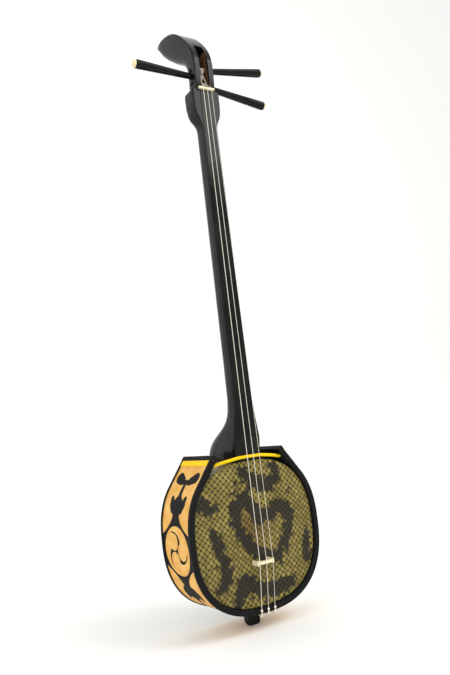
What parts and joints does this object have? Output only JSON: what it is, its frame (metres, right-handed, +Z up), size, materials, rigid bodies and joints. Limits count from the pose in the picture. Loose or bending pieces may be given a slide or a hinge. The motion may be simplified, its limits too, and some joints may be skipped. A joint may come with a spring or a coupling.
{
  "type": "sanshin",
  "caption": "Plucked lute with a rounded-square skin-covered body in a tied cloth band, a long fretless neck, a backswept pegbox with turning pegs and a bridge that slides along the strings.",
  "frame": {"origin": "middle of the flat end of the tail stub, under the body", "axes": "+Z up along the neck towards the head, -Y out of the front skin and fingerboard, +X to the right as the viewer sees the front"},
  "size_m": [0.1986, 0.1029, 0.7975],
  "materials": {
    "black_lacquer": "gloss black lacquer",
    "cream_ivory": "satin cream",
    "bridge_ivory": "satin cream",
    "cream_silk": "twisted cream string",
    "frame_wood": "bare planed wood",
    "python_skin": "scaled hide with dark blotches",
    "gold_cloth": "gold brocade with a black woven ornament",
    "black_lining": "black cloth",
    "black_binding": "black binding tape",
    "yellow_tie": "yellow braid"
  },
  "bodies": {
    "instrument": {"neck": "black_lacquer", "nut": "cream_ivory", "thick_string": "cream_silk", "middle_string": "cream_silk", "thin_string": "cream_silk", "left_knot": "cream_silk", "middle_knot": "cream_silk", "right_knot": "cream_silk", "left_leg": "cream_silk", "middle_leg": "cream_silk", "right_leg": "cream_silk", "tail_loop": "cream_silk", "top_frame": "frame_wood", "bottom_frame": "frame_wood", "left_frame": "frame_wood", "right_frame": "frame_wood", "front_skin": "python_skin", "back_skin": "python_skin", "band": "gold_cloth", "band_lining": "black_lining", "front_binding": "black_binding", "back_binding": "black_binding", "left_end_binding": "black_binding", "right_end_binding": "black_binding", "left_ribbon": "yellow_tie", "right_ribbon": "yellow_tie", "front_cord": "yellow_tie", "back_cord": "yellow_tie"},
    "lower_tuner": {"lower_peg": "black_lacquer", "lower_peg_tip": "cream_ivory", "thin_winding": "cream_silk"},
    "left_tuner": {"left_peg": "black_lacquer", "left_peg_tip": "cream_ivory", "thick_winding": "cream_silk"},
    "upper_tuner": {"upper_peg": "black_lacquer", "upper_peg_tip": "cream_ivory", "middle_winding": "cream_silk"},
    "bridge": {"bridge": "bridge_ivory"}
  },
  "joints": [
    {"name": "lower_peg_turn", "type": "hinge", "parent": "instrument", "child": "lower_tuner", "pos_m": [0, -0.031, 0.6953], "axis": [0.9825, -0.0687, -0.1732], "continuous": true},
    {"name": "left_peg_turn", "type": "hinge", "parent": "instrument", "child": "left_tuner", "pos_m": [0, -0.031, 0.7059], "axis": [-0.9997, 0, 0.0262], "continuous": true},
    {"name": "upper_peg_turn", "type": "hinge", "parent": "instrument", "child": "upper_tuner", "pos_m": [0, -0.031, 0.7165], "axis": [0.9902, -0.0692, 0.1216], "continuous": true},
    {"name": "bridge_slide", "type": "slide", "parent": "instrument", "child": "bridge", "axis": [0, 0, 1], "range_m": [0, 0.015]}
  ]
}
